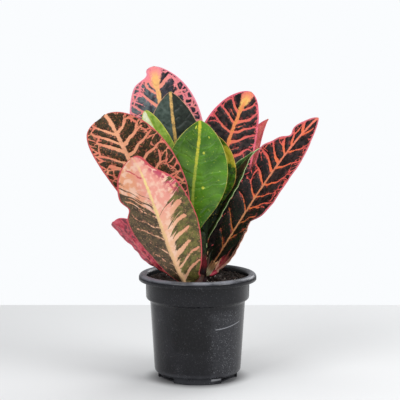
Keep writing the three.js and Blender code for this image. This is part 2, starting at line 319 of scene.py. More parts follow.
def wall_inside():
    """The inner wall, from the collar down to the middle of the floor."""
    ribs = []
    for i in range(GROOVES):
        height = POT_HEIGHT - LIP_RISE - GROOVE_SPACING * (i + 1)
        ribs.append((COLLAR_RADIUS - WALL - GROOVE_DEPTH * (i % 2), height))
    return ribs + [
        (COLLAR_RADIUS - WALL, STEP_HEIGHT + 1.5),
        (BODY_TOP_RADIUS - WALL, STEP_HEIGHT - 5),
        (BODY_FOOT_RADIUS - WALL, FOOT_HEIGHT + 3.5),
        (BODY_FOOT_RADIUS - WALL - 1, FOOT_HEIGHT + WALL),
        (FOOT_RADIUS - WALL, FOOT_HEIGHT + WALL),
        (FOOT_RADIUS - WALL, WALL),
        (0, WALL),
    ]


pot_profile = [
    (0, 0),
    (FOOT_RADIUS - 1.2, 0),
    (FOOT_RADIUS - 0.3, 0.3),
    (FOOT_RADIUS, 1.2),
    (FOOT_RADIUS, FOOT_HEIGHT),
    (BODY_FOOT_RADIUS - 2.3, FOOT_HEIGHT),
    (BODY_FOOT_RADIUS - 1.2, FOOT_HEIGHT + 0.4),
    (BODY_FOOT_RADIUS - 0.4, FOOT_HEIGHT + 1.6),
    (BODY_FOOT_RADIUS, FOOT_HEIGHT + 3.5),
    (BODY_TOP_RADIUS, STEP_HEIGHT - 5),
    (BODY_TOP_RADIUS + 0.3, STEP_HEIGHT - 3.4),
    (BODY_TOP_RADIUS + 1.2, STEP_HEIGHT - 2.0),
    (COLLAR_RADIUS - 1.2, STEP_HEIGHT - 1.2),
    (COLLAR_RADIUS - 0.3, STEP_HEIGHT - 0.3),
    (COLLAR_RADIUS, STEP_HEIGHT + 1),
    *arch(LIP_REACH - WALL, LIP_RISE - WALL, 8, False),
    (RIM_RADIUS - WALL, POT_HEIGHT - RIM_DROP + 0.5),
    (RIM_RADIUS - 1.0, POT_HEIGHT - RIM_DROP + 0.1),
    (RIM_RADIUS - 0.5, POT_HEIGHT - RIM_DROP + 0.1),
    (RIM_RADIUS, POT_HEIGHT - RIM_DROP + 0.7),
    *arch(LIP_REACH, LIP_RISE, 14, True),
    *wall_inside(),
]


# %% [markdown]
# ### Black plastic
# Black plastic isn't black. It has a half-gloss with a faint haze, and a film of dust and dried water spots
# that lies thick in one stretch of the wall, where a paler sheen is painted with it. A darker stretch of the
# wall is a painted dark reflection. The rim and the foot's edge carry a painted highlight, and there are a
# curved scratch and a painted glint on the foot. Each is a share from 0 to 1 that blends a tone over the
# black, a paler one but for the painted dark reflection. Dust and spots go into the roughness too, as they
# both lighten a surface and dull it.


# %% Pot material
def pot_plastic():
    material, tree, shader = new_material("pot_plastic")
    where = millimetres(tree)
    x, y, z = where.parts()
    front = y.ramp(*FRONT, 1.0, 0.0)
    cloud = grain(where, 12, 3, 5) - 0.5

    def zone(left, right, low, high, soft):
        """1 inside that rectangle of the front, fading out over that many millimetres round it."""
        across = (x - left).calc("MINIMUM", x * -1 + right)
        upright = (z - low).calc("MINIMUM", z * -1 + high)
        inner = cloud * soft + across.calc("MINIMUM", upright)
        return inner.ramp(-soft / 2, soft / 2) * front

    haze = grain(where, 30, 3).ramp(0.4, 0.75)
    # Dust, with a painted sheen over the stretch where it lies thickest.
    dust_and_sheen = zone(*DUST_AND_SHEEN_WALL, 16) * 0.8 + grain(where, 14, 4, 7).ramp(0.5, 0.75, 0.0, 0.25)
    dust_and_sheen *= grain(where, 2.5, 4, 9).ramp(0.3, 0.7, 0.5, 1.0)
    dots = grain(where, 0.9, 2, 3).ramp(0.6, 0.68) * (dust_and_sheen * 0.9 + 0.12)
    bow = x - SCRATCH_FROM
    away = (z - (bow * bow * SCRATCH_BOW + SCRATCH_HEIGHT)).calc("ABSOLUTE")
    scratch = away.ramp(0.25, 0.6, 1.0, 0.0) * front
    scratch *= x.ramp(SCRATCH_FROM, SCRATCH_FROM + 2) * x.ramp(SCRATCH_TO, SCRATCH_TO + 2, 1.0, 0.0)
    # A painted highlight along the rim's top and the foot's edge.
    painted_highlight = z.ramp(POT_HEIGHT - 3.5, POT_HEIGHT - 1)
    painted_highlight = painted_highlight.calc("MAXIMUM", z.ramp(FOOT_HEIGHT + 1, FOOT_HEIGHT + 5, 0.22, 0.0))
    painted_highlight *= grain(where, 16, 3, 12).ramp(0.35, 0.6, 0.35, 1.0)
    colour = blend(haze, (24, 24, 28), (32, 32, 37))
    for share, tone in (
        # A painted dark reflection down the middle of the wall's front.
        (zone(*DARK_REFLECTION_WALL, 8) * 0.7, (12, 12, 15)),
        # Dust with a painted sheen.
        (dust_and_sheen * 0.1, (150, 152, 160)),
        (dots * 0.5, (200, 202, 208)),
        (scratch * 0.5, (190, 192, 198)),
        # A painted highlight on the rim and the foot's edge.
        (painted_highlight * 0.44, (176, 178, 188)),
        # A painted glint on the foot.
        (zone(*FOOT_GLINT, 2) * 0.7, (214, 216, 220)),
    ):
        colour = blend(share, colour, tone)
    feed(shader, {
        "Base Color": colour,
        "Specular IOR Level": 0.25,
        "Roughness": haze * 0.1 + 0.2 + dust_and_sheen * 0.2 + dots * 0.2,
        "Normal": relief(grain(where, 5, 3, 2), 0.06),
    })
    return material


# %% Make the pot
bm = turned(pot_profile, POT_STEPS)
pot = new_piece("nursery_pot", mesh_of(bm, "nursery_pot"), ["pot"], [pot_plastic()])
cutters = bmesh.new()
for angle in NOTCH_ANGLES:
    turn = Matrix.Rotation(math.radians(angle), 4, "Z")
    place = Matrix.Translation(Vector((0, -FOOT_RADIUS, NOTCH_SIZE[2] / 2 - 1)) * MM)
    size = Matrix.Diagonal((*(side * MM for side in NOTCH_SIZE), 1))
    bmesh.ops.create_cube(cutters, size=1, matrix=turn @ place @ size)
cutter = bpy.data.objects.new("notch_cutter", mesh_of(cutters, "notch_cutter"))
scene.collection.objects.link(cutter)
cut = pot.modifiers.new("notches", "BOOLEAN")
cut.object = cutter
cut.solver = "EXACT"
bpy.context.view_layer.update()
shaped = bpy.data.meshes.new_from_object(pot.evaluated_get(bpy.context.evaluated_depsgraph_get()))
pot.modifiers.clear()
pot.data = shaped
bpy.data.objects.remove(cutter)
print("pot:", len(pot.data.polygons), "faces")

# %% [markdown]
# ## The soil
# Potting soil is peat and bark: dark, crumbly, with pale grains of pumice. One noisy surface reads as mud, so
# the soil is two pieces: a lumpy plug that fills the pot, and crumbs strewn over it. A crumb is a small ball
# whose vertices are pushed about, because no two are alike.

# %% Soil measures
SOIL_LEVEL = POT_HEIGHT - 6
SOIL_GAP = 0.3  # between the soil and the wall
SOIL_RADIUS = COLLAR_RADIUS - WALL - SOIL_GAP
SOIL_ROUGHNESS = 0.35
NOTCH_SHADE_HEIGHTS = (10, 40)  # heights over which the painted shade at its foot fades out
SOIL_FOOT_RADIUS = 33  # it leaves the corner behind the drainage notches empty
HOLLOW = Vector((-5, -21))
HOLLOW_DEPTH = 12
HOLLOW_SPREAD = 13
SOIL_RINGS = 40
CRUMBS = 900
PALE_CRUMBS = 150
CRUMB_SIZES = (0.5, 1.7)
PALE_SIZES = (0.35, 1.0)
CRUMB_ROUGHNESS = 0.12


def soil_height(x, y):
    """The soil's top, in millimetres, with a shallow hollow under the front leaf."""
    lumps = 0.5 * np.sin(0.42 * x + 1.3) * np.cos(0.37 * y + 0.4) + 0.35 * np.sin(0.8 * x - 0.61 * y)
    away = np.hypot(x - HOLLOW.x, y - HOLLOW.y) / HOLLOW_SPREAD
    return SOIL_LEVEL + lumps - HOLLOW_DEPTH * np.exp(-(away**2) / 2)


def places(mesh):
    """A mesh's vertices as rows of millimetres."""
    found = np.empty(len(mesh.vertices) * 3)
    mesh.vertices.foreach_get("co", found)
    return found.reshape(-1, 3) / MM


def put(mesh, rows):
    mesh.vertices.foreach_set("co", (np.asarray(rows) * MM).ravel())
    mesh.update()


# %% Soil material
def crumb_material(name, dark, light, size):
    material, tree, shader = new_material(name)
    where = millimetres(tree)
    colour = blend(grain(where, size, 4).ramp(0.35, 0.7), dark, light)
    # Painted shade: darker towards the bottom, where the soil is seen through the drainage notches.
    painted_shade = where.parts()[2].ramp(*NOTCH_SHADE_HEIGHTS, 0.85, 0.0)
    feed(shader, {
        "Base Color": blend(painted_shade, colour, (8, 6, 6)),
        "Roughness": 0.92,
        "Normal": relief(grain(where, 0.9, 4, 4), 0.5),
    })
    return material


peat = crumb_material("peat", (22, 15, 12), (58, 42, 34), 2.2)
pumice = crumb_material("pumice", (120, 108, 98), (196, 186, 176), 1.2)

# %% Fill the pot
random = np.random.default_rng(11)
rings = [(SOIL_RADIUS * (1 - i / SOIL_RINGS), SOIL_LEVEL) for i in range(SOIL_RINGS + 1)]
bm = turned(
    [
        (0, WALL + SOIL_GAP),
        (SOIL_FOOT_RADIUS, WALL + SOIL_GAP),
        (SOIL_FOOT_RADIUS, FOOT_HEIGHT + WALL + SOIL_GAP),
        (BODY_FOOT_RADIUS - WALL - SOIL_GAP, FOOT_HEIGHT + 4),
        (BODY_TOP_RADIUS - WALL - 0.4, STEP_HEIGHT - 5),
        *rings,
    ],
    96,
)
mesh = mesh_of(bm, "soil_plug")
rows = places(mesh)
top = rows[:, 2] > SOIL_LEVEL - 0.5
rows[top, 2] = soil_height(rows[top, 0], rows[top, 1]) + random.normal(0, SOIL_ROUGHNESS, top.sum())
put(mesh, rows)
new_piece("soil_plug", mesh, ["soil"], [peat])

# %% Strew the crumbs
bm = bmesh.new()
for i in range(CRUMBS):
    radius = (SOIL_RADIUS - 2.5) * math.sqrt(random.random())
    angle = 2 * math.pi * random.random()
    x, y = radius * math.cos(angle), radius * math.sin(angle)
    size = random.uniform(*(PALE_SIZES if i < PALE_CRUMBS else CRUMB_SIZES))
    stretch = random.uniform(0.6, 1.3, 3) * size
    spot = Matrix.Translation(Vector((x, y, soil_height(x, y) + 0.3 * size)) * MM)
    turn = Matrix.Rotation(random.uniform(0, math.pi), 4, Vector(random.normal(0, 1, 3)))
    made = bmesh.ops.create_icosphere(
        bm, subdivisions=1, radius=1, matrix=spot @ turn @ Matrix.Diagonal((*(stretch * MM), 1))
    )
    for vert in made["verts"]:
        vert.co += Vector(random.normal(0, CRUMB_ROUGHNESS * size, 3)) * MM
    for face in {face for vert in made["verts"] for face in vert.link_faces}:
        face.material_index = 1 if i < PALE_CRUMBS else 0
crumbs = new_piece("soil_crumbs", mesh_of(bm, "soil_crumbs"), ["soil"], [peat, pumice], smooth=False)
print("crumbs:", len(crumbs.data.polygons), "faces")

# %% [markdown]
# ## The stem
# A young croton's stem is a finger-thin cane, ringed by the scars of fallen leaves: dark maroon at the foot,
# crimson where the old leaves stand, and green above. A spun profile with a small swelling at each scar gives
# it, and the bark is noise stretched along the stem.

# %% Stem
STEM_X = 5
STEM_FOOT = 55
STEM_TOP = 150
STEM_RADIUS = 5
STEM_TIP_RADIUS = 3.4
STEM_NARROWS = 105
SCAR_SPACING = 7.5
SCAR_SWELLING = 0.35
CRIMSON_BARK = (111, 117)  # the heights between which the bark turns to that colour
GREEN_BARK = (120, 130)


def stem_radius(height):
    share = np.clip((height - STEM_NARROWS) / (STEM_TOP - STEM_NARROWS), 0, 1)
    return STEM_RADIUS + (STEM_TIP_RADIUS - STEM_RADIUS) * share


def stem_bark():
    material, tree, shader = new_material("stem_bark")
    where = millimetres(tree)
    along = wire(tree, "ShaderNodeMapping", {"Vector": where, "Scale": (1, 1, 0.25)})
    streaks = grain(along, 1.4, 3).ramp(0.35, 0.7)
    height = where.parts()[2]
    colour = blend(streaks, (22, 8, 12), (64, 16, 24))
    colour = blend(height.ramp(*CRIMSON_BARK, 0.0, 0.8), colour, (150, 26, 46))
    green = blend(streaks, (22, 40, 16), (54, 76, 30))
    colour = blend(height.ramp(*GREEN_BARK), colour, green)
    feed(shader, {"Base Color": colour, "Roughness": 0.6, "Normal": relief(streaks, 0.35)})
    return material


profile = [(0, STEM_FOOT)]
for height in np.arange(STEM_FOOT, STEM_TOP - 1.5, 1.0):
    scar = SCAR_SWELLING * math.exp(-((((height / SCAR_SPACING) % 1) - 0.5) * 5) ** 2)
    profile.append((float(stem_radius(height)) - 0.25 + scar, float(height)))
profile += [(STEM_TIP_RADIUS - 0.8, STEM_TOP - 1), (STEM_TIP_RADIUS - 2, STEM_TOP - 0.2), (0, STEM_TOP)]
bm = turned(profile, 40)
bmesh.ops.translate(bm, vec=Vector((STEM_X, 0, 0)) * MM, verts=bm.verts)
new_piece("stem_cane", mesh_of(bm, "stem_cane"), ["stem"], [stem_bark()])

# %% [markdown]
# ## The leaves
# Every leaf is the same kind of shape with other numbers. Its rib leaves the stem at an angle and a height
# and passes three places: a third of the way along, two thirds along, and the tip. Each half of the blade has
# its greatest width, where along the blade that lies, and how blunt the tip is. The upper side faces one way
# at the base and another at the tip. A fold lifts each half from the rib, a curl bends it on towards its
# margin, a wave ripples the margin, and a bite takes a share of one half's width. These are the model's own
# values, so that a finer leaf lies in its solid.
#
# The markings have their own few numbers. Side veins leave the rib at the places in `veins` on each half,
# `rise` is how far along the blade they climb on their way to the margin, and `vein` is half their width.
# `loops`, `forks` and `between` are how often two veins are joined near the margin, how often one forks, and
# how often a thin one lies between two. `rib_width` is half the rib's width at the base and at the tip, and
# `flare` how far a coloured tip spreads on each half. One leaf has a `crease`, a path from its tip, and a
# pale `band` along its rib: rows of a place along the blade and the band's width on each half. What a leaf
# leaves out is as in `PLAIN_LEAF`.

# %% What the leaves share
BLADE_THICKNESS = 0.8
STALK_RADIUS = 1.8
RIDGE_REACH = 2.2
STALK_ROWS = 8
LEFT, RIGHT = 0, 1

FEW_VEINS = [(0.2, 0.35, 0.5, 0.65, 0.8)] * 2
GREEN_VEINS = [(0.15, 0.27, 0.39, 0.51, 0.63, 0.75, 0.86)] * 2
REAR_VEINS = [(0.16, 0.27, 0.38, 0.49, 0.6, 0.71, 0.82)] * 2

PLAIN_LEAF = dict(
    wave=(0.6, 2, 0), bites=(), turn=1, curl=(0, 0), veins=FEW_VEINS, rise=(0.12, 0.12), vein=(0.25, 0.25),
    loops=0.75, forks=0, between=0.3, flare=(0, 0),
)

# %% Measures of each leaf
LEAVES = {
    "front_left": dict(
        leaves=(-110, 105), stalk=32, rib=[(-16.5, -40, 113), (-41, -52, 179), (-64, -60, 232)],
        halves=[(36, 0.5, 0.6), (32.5, 0.65, 0.46)], face=[(95, 60), (100, 12)], fold=(12, 10),
        wave=(2, 2.5, 0.1), bites=[(1, 0.66, 0.2, 0.05), (0, 0.9, 0.43, 0.095), (0, 0.03, -0.4, 0.03)],
        veins=[
            (0.08, 0.17, 0.25, 0.345, 0.43, 0.52, 0.62, 0.72, 0.82),
            (0.1, 0.19, 0.29, 0.39, 0.475, 0.56, 0.65, 0.74, 0.83),
        ],
        rise=(0.12, 0.165), vein=(2.5, 0.5), loops=0, forks=0.3, between=0, rib_width=(2.1, 0.9),
        crease=[(12, 10, 0.1), (9.5, 13, 0.3), (6, 18, 0), (4.5, 21.5, 0.3), (2.5, 23, 0.8)],
        band=[
            (0.1, 2, 0), (0.3, 5, 0), (0.45, 9, 0.5), (0.58, 14, 3), (0.68, 21, 10), (0.8, 30, 26),
            (1, 40, 40),
        ],
    ),
    "left": dict(
        leaves=(165, 114), stalk=14, rib=[(-32, -17, 151), (-63, -28, 216), (-91, -34, 272)],
        halves=[(32, 0.84, 0.22), (44, 0.56, 0.6)], face=[(-94, 50), (-80, 10)], fold=(8, 9),
        wave=(1.5, 2, 0),
        veins=[
            (0.2, 0.32, 0.42, 0.52, 0.61, 0.68, 0.76, 0.81, 0.87),
            (0.16, 0.26, 0.36, 0.46, 0.56, 0.65, 0.73, 0.8, 0.875),
        ],
        rise=(0.165, 0.085), vein=(1.4, 1.5), loops=0.9, forks=0.5, between=0, rib_width=(2.3, 1.9),
    ),
    "low_left": dict(
        leaves=(185, 110), stalk=12, rib=[(-36, 0, 112), (-59, 0, 134), (-86, -2, 160)],
        halves=[(30, 0.72, 0.35), (17, 0.78, 0.25)], face=[(48, 42), (45, 42)], fold=(5, 5), wave=(0.8, 3, 0),
        vein=(0.8, 0.8), rib_width=(1.6, 1),
    ),
    "back_left": dict(
        leaves=(160, 120), stalk=16, rib=[(-16, 30, 184), (-33, 48, 250), (-46, 64, 315)],
        halves=[(37.5, 0.58, 0.52), (39.5, 0.66, 0.68)], face=[(-90, 40), (-88, 15)], fold=(6, 6),
        wave=(1.5, 2, 0), bites=[(0, 0.955, 0.46, 0.032)],
        veins=[
            (0.16, 0.26, 0.37, 0.48, 0.58, 0.68, 0.77, 0.845, 0.875),
            (0.16, 0.26, 0.36, 0.46, 0.56, 0.63, 0.7, 0.78, 0.88),
        ],
        rise=(0.145, 0.09), vein=(1.5, 1.7), loops=0.9, forks=0.6, between=0, rib_width=(1.9, 2.4),
        flare=(11, 8),
    ),
    "dark_green": dict(
        leaves=(128, 132), stalk=14, rib=[(-12, 16, 181), (-22, 22, 236), (-28, 26, 291)],
        halves=[(33, 0.52, 0.75), (31, 0.52, 0.75)], face=[(-90, 30), (-90, 10)], fold=(8, 8),
        veins=GREEN_VEINS, rise=(0.09, 0.09), vein=(0.2, 0.2), rib_width=(2.2, 1.4),
    ),
    "young": dict(
        leaves=(178, 139), stalk=10, rib=[(-11, 8, 182), (-32, 9, 231), (-53, 9, 273)],
        halves=[(13, 0.7, 0.5), (11.5, 0.66, 0.6)], face=[(-90, 30), (-100, 10)], fold=(16, 16),
        wave=(0.5, 2, 0), rise=(0.08, 0.08), vein=(0.2, 0.2), rib_width=(1, 0.4),
    ),
    "centre": dict(
        leaves=(-85, 144), stalk=8, rib=[(-5, -1, 176), (-1, -3, 224), (2, -4, 264)],
        halves=[(29, 0.56, 0.75), (33.5, 0.52, 0.76)], face=[(-90, 20), (-90, 5)], fold=(6, 6),
        veins=GREEN_VEINS, rise=(0.1, 0.1), rib_width=(1.3, 1.6),
    ),
    "behind_centre": dict(
        leaves=(25, 139), stalk=10, rib=[(11, 8, 169), (16, 11, 212), (11, 12, 250)],
        halves=[(14, 0.5, 0.7), (24, 0.56, 0.8)], face=[(-90, 20), (-90, 10)], fold=(6, 6),
        bites=[(1, 0.28, 0.35, 0.16)], veins=GREEN_VEINS, rise=(0.1, 0.1), rib_width=(1.2, 0.6),
    ),
    "curled": dict(
        leaves=(58, 125), stalk=10, rib=[(10, 18, 150.5), (29, 28.5, 194), (65, 28, 233)],
        halves=[(12, 0.4, 0.9), (30, 0.56, 0.75)], face=[(-142, 20), (170, 10)], turn=5, fold=(10, 10),
        curl=(10, 10), rise=(0.1, 0.1), rib_width=(1.2, 0.5),
    ),
    "back_right": dict(
        leaves=(100, 117), stalk=16, rib=[(17, 40, 175), (32, 60, 235), (56, 70, 288)],
        halves=[(33, 0.6, 0.68), (30, 0.55, 0.5)], face=[(-90, 40), (-80, 15)], fold=(6, 12), wave=(1, 2, 0),
        veins=[
            (0.22, 0.33, 0.44, 0.54, 0.64, 0.73, 0.79, 0.855),
            (0.18, 0.28, 0.38, 0.48, 0.575, 0.67, 0.735, 0.8, 0.875),
        ],
        rise=(0.07, 0.1), vein=(1.3, 1.3), loops=0.6, forks=0.3, between=0.15, rib_width=(2, 1.8),
        flare=(7, 5),
    ),
    "red_back": dict(
        leaves=(45, 112), stalk=14, rib=[(25, 54, 170), (50, 76, 220), (75, 86, 258)],
        halves=[(16, 0.55, 0.7), (26, 0.45, 1.3)], face=[(-120, 40), (-120, 20)], fold=(10, 10),
        wave=(0.8, 2, 0), vein=(0.9, 0.9), rib_width=(1.5, 0.8),
    ),
    "right": dict(
        leaves=(-42, 107), stalk=14, rib=[(36.5, -12, 152), (77, -14, 215), (121, -12, 267)],
        halves=[(23, 0.48, 0.66), (34, 0.56, 0.78)], face=[(-120, 40), (-124, 15)], fold=(4, 24),
        wave=(1, 3, 0), bites=[(0, 0.83, 0.36, 0.03), (0, 0.68, -0.36, 0.07), (1, 0.31, 0.35, 0.06)],
        veins=[
            (0.1, 0.216, 0.35, 0.44, 0.52, 0.61, 0.67, 0.73, 0.79, 0.88),
            (0.17, 0.27, 0.37, 0.445, 0.53, 0.64, 0.75, 0.87),
        ],
        rise=(0.08, 0.12), vein=(1.25, 1.1), loops=0.7, forks=0.25, between=0.1, rib_width=(1.3, 1.3),
    ),
    "low_right": dict(
        leaves=(14, 107), stalk=12, rib=[(25, 11, 115), (42, 19, 143), (58, 25, 180)],
        halves=[(14, 0.5, 0.6), (12, 0.4, 0.7)], face=[(-140, 50), (-140, 30)], fold=(10, 10),
        vein=(0.7, 0.7), rib_width=(1.2, 0.6),
    ),
    "rear_left": dict(
        leaves=(140, 111), stalk=14, rib=[(-16, 36, 146), (-34, 64, 190), (-50, 80, 230)],
        halves=[(30, 0.57, 0.6), (27, 0.62, 0.55)], face=[(-85, 60), (-85, 35)], fold=(8, 8),
        wave=(1.5, 2, 0), veins=REAR_VEINS, vein=(1.2, 1.2), rib_width=(1.9, 1.9), flare=(3, 3),
    ),
    "rear_right": dict(
        leaves=(85, 106), stalk=12, rib=[(8, 41, 135), (12, 73, 175), (14, 92, 215)],
        halves=[(26, 0.42, 0.8), (28, 0.38, 0.85)], face=[(-96, 60), (-98, 35)], fold=(8, 8),
        wave=(1.5, 2, 0.3), veins=REAR_VEINS, vein=(1.2, 1.2), rib_width=(1.9, 1.6),
    ),
}
for name, leaf in LEAVES.items():
    azimuth, height = leaf["leaves"]
    out = float(stem_radius(height))
    a = math.radians(azimuth)
    start = (STEM_X + out * math.cos(a), out * math.sin(a), height)
    LEAVES[name] = {**PLAIN_LEAF, **leaf, "rib": [start, *leaf["rib"]]}

# %% [markdown]
# ### Shaping a blade
# A grid is the natural start for a sheet. It has rows along the leaf and columns across it. Every vertex is
# carried to its place by the formula, all of them at once with numpy. What the formula gives is the upper
# side. A Solidify modifier makes the thickness, with a vertex group that thickens the rib into a ridge
# underneath and the first rows into a stalk.


# %% Blade formulas
def direction(azimuth, elevation):
    a, e = math.radians(azimuth), math.radians(elevation)
    return np.array([math.cos(e) * math.cos(a), math.cos(e) * math.sin(a), math.sin(e)])


def curve_through(points, t):
    """A cubic curve that passes its four points at t = 0, 1/3, 2/3 and 1."""
    a, p, q, b = [np.array(point, float) for point in points]
    first = (-5 * a + 18 * p - 9 * q + 2 * b) / 6
    second = (2 * a - 9 * p + 18 * q - 5 * b) / 6
    t = np.asarray(t)[:, None]
    s = 1 - t
    return a * s**3 + 3 * first * s * s * t + 3 * second * s * t * t + b * t**3


def half_width(leaf, hand, along):
    """Half of the blade's width, in millimetres, 0 being the base and 1 the tip."""
    width, widest, tip = leaf["halves"][hand]
    base = tip * widest / (1 - widest)
    half = width * (along / widest) ** base * (np.clip(1 - along, 0, 1) / (1 - widest)) ** tip
    for side, place, depth, span in leaf["bites"]:
        if side == hand:
            half = half * (1 - depth * np.exp(-(((along - place) / span) ** 2)))
    return np.maximum(half, STALK_RADIUS * (1 - along) + 0.5 * along)


def unit(rows):
    return rows / np.linalg.norm(rows, axis=-1, keepdims=True)


def rib_line(leaf):
    """How far along the rib each of many samples lies, and its parameter on the curve."""
    samples = np.linspace(0, 1, 801)
    line = curve_through(leaf["rib"], samples)
    steps = np.r_[0, np.cumsum(np.linalg.norm(np.diff(line, axis=0), axis=1))]
    return steps, samples


# %% [markdown]
# ### Side veins
# A path is a list of places on the blade laid flat: across the rib and along it, in millimetres, and half the
# vein's width there. Each vein slants and bends towards the tip. Some fork, some are joined near the margin
# by a loop, and each loop's foot has a short spur.

# %% Side veins
PATH_STEPS = 12


def side_veins(leaf, hand, length, random):
    """Side veins, their forks, loops and spurs, and short thin veins between them, as paths."""
    sign = 1 if hand == RIGHT else -1
    starts = leaf["veins"][hand]
    blade = length - leaf["stalk"]

    def on_vein(start, across, width):
        """Places on the vein that leaves the rib there, for shares of the half width."""
        along = np.clip(start + leaf["rise"][hand] * across * (0.8 + 0.25 * across), 0, 0.995)
        reach = across * half_width(leaf, hand, along)
        return np.c_[sign * reach, leaf["stalk"] + along * blade, width * np.ones_like(across)]

    paths = []
    ends = [random.uniform(0.62, 0.9) for _ in starts]
    for start, end in zip(starts, ends):
        across = np.linspace(0, end, PATH_STEPS)
        width = leaf["vein"][hand] * (0.45 + 0.55 * min(1, start / 0.5)) * random.uniform(0.7, 1.25)
        paths.append(on_vein(start, across, width * (1.2 - 0.65 * across)))
        if random.random() < leaf["forks"]:
            across = np.linspace(random.uniform(0.3, 0.45), random.uniform(0.75, 0.95), PATH_STEPS)
            branch = on_vein(start, across, 0.7 * width * (1.2 - 0.7 * across))
            branch[:, 1] -= (across - across[0]) * blade * random.uniform(0.05, 0.09)
            paths.append(branch)
    for k in range(len(starts) - 1):
        foot = on_vein(starts[k], np.array([ends[k]]), 0.6 * leaf["vein"][hand])[0]
        head = on_vein(starts[k + 1], np.array([random.uniform(0.55, 0.75)]), 0.45 * leaf["vein"][hand])[0]
        if random.random() < leaf["loops"] * min(1, starts[k] / 0.4):
            t = np.linspace(0, 1, PATH_STEPS)[:, None]
            bulge = (foot + head) / 2 + [sign * 0.12 * abs(foot[0]), 0.3 * abs(head[1] - foot[1]), 0]
            paths.append(foot * (1 - t) ** 2 + 2 * bulge * t * (1 - t) + head * t**2)
        if random.random() < leaf["between"]:
            across = np.linspace(0, random.uniform(0.25, 0.6), PATH_STEPS)
            paths.append(on_vein((starts[k] + starts[k + 1]) / 2, across, 0.28 * leaf["vein"][hand]))
        if leaf["loops"]:
            spur = foot + [sign * random.uniform(4, 8), random.uniform(-2, 5), -0.2 * leaf["vein"][hand]]
            paths.append(np.array([foot, spur]))
    return paths


def distance_to(paths, points):
    """How far each flat point lies outside the nearest of those veins, in millimetres, below 0 inside one."""
    ends = np.concatenate([np.c_[path[:-1], path[1:]] for path in paths])
    nearest = np.full(len(points), 99.0)
    for x0, y0, w0, x1, y1, w1 in ends:
        dx, dy = x1 - x0, y1 - y0
        t = np.clip(((points[:, 0] - x0) * dx + (points[:, 1] - y0) * dy) / (dx * dx + dy * dy + 1e-9), 0, 1)
        away = np.hypot(points[:, 0] - x0 - t * dx, points[:, 1] - y0 - t * dy)
        nearest = np.minimum(nearest, away - w0 - (w1 - w0) * t)
    return nearest


# %% [markdown]
# ### From a flat grid to a leaf
# First the grid gets its measures: where each vertex lies along and across the blade. Rows lie closer
# together towards the tip, where the outline turns fastest. Then come the rib's own directions, the distances
# that the colours need, and last the bent blade.

# %% Lay a leaf flat
CELL = 1.0  # about how far apart the vertices lie, in millimetres
TIP_CROWDING = 1.5
NEARBY = 0.004  # how far before and behind a place on the rib's curve its direction is taken


class Sheet:
    """A leaf's grid: where each vertex lies on the blade laid flat."""

    def __init__(self, name, leaf):
        self.leaf = leaf
        self.steps, self.samples = rib_line(leaf)
        self.length = self.steps[-1]
        widths = [half[0] for half in leaf["halves"]]
        rows = int((self.length - leaf["stalk"]) / CELL)
        columns = 2 * max(10, int(sum(widths) / CELL / 2))
        bm = bmesh.new()
        bmesh.ops.create_grid(bm, x_segments=columns, y_segments=rows + STALK_ROWS, size=1)
        self.mesh = mesh_of(bm, name)
        flat = places(self.mesh) * MM
        self.across = np.round(flat[:, 0], 6)
        self.right = self.across > 0
        self.sign = np.where(self.right, 1, -1)
        self.step = np.round((flat[:, 1] + 1) / 2 * (rows + STALK_ROWS)).astype(int)
        share = np.clip((np.arange(rows + STALK_ROWS + 1) - STALK_ROWS) / rows, 0, 1)
        self.along = (1 - (1 - share) ** TIP_CROWDING)[self.step]
        on_stalk = leaf["stalk"] * np.minimum(self.step / STALK_ROWS, 1)
        self.distance = on_stalk + self.along * (self.length - leaf["stalk"])
        self.half = self.by_half([half_width(leaf, hand, self.along) for hand in (LEFT, RIGHT)])
        self.reach = np.abs(self.across) * self.half
        self.laid = np.c_[self.sign * self.reach, self.distance]
        self.widths = self.by_half(widths)

    def by_half(self, pair):
        """Each vertex's value out of the left half's and the right half's."""
        return np.where(self.right, pair[RIGHT], pair[LEFT])


def rib_frame(sheet):
    """For each vertex, its place on the rib, the way the blade faces there and the way to its right."""
    leaf = sheet.leaf
    t = np.interp(sheet.distance, sheet.steps, sheet.samples)
    behind, ahead = [curve_through(leaf["rib"], np.clip(t + by, 0, 1)) for by in (-NEARBY, NEARBY)]
    forward = unit(ahead - behind)
    turn = (sheet.along ** leaf["turn"])[:, None]
    face = direction(*leaf["face"][0]) * (1 - turn) + direction(*leaf["face"][1]) * turn
    face = unit(face - forward * np.sum(face * forward, axis=1, keepdims=True))
    return curve_through(leaf["rib"], t), face, np.cross(forward, face)


# %% Measure the marks
CELL_LENGTH = 7.5  # of the small dark cells near the margin, away from the rib
CELL_WIDTH = 4.6
TIP_FROM, TIP_SPAN, TIP_FADE = 0.82, 0.14, 0.04  # where the coloured tip widens, as shares of the blade
CREASE_WIDTH = 1.4
FAR = 9.0


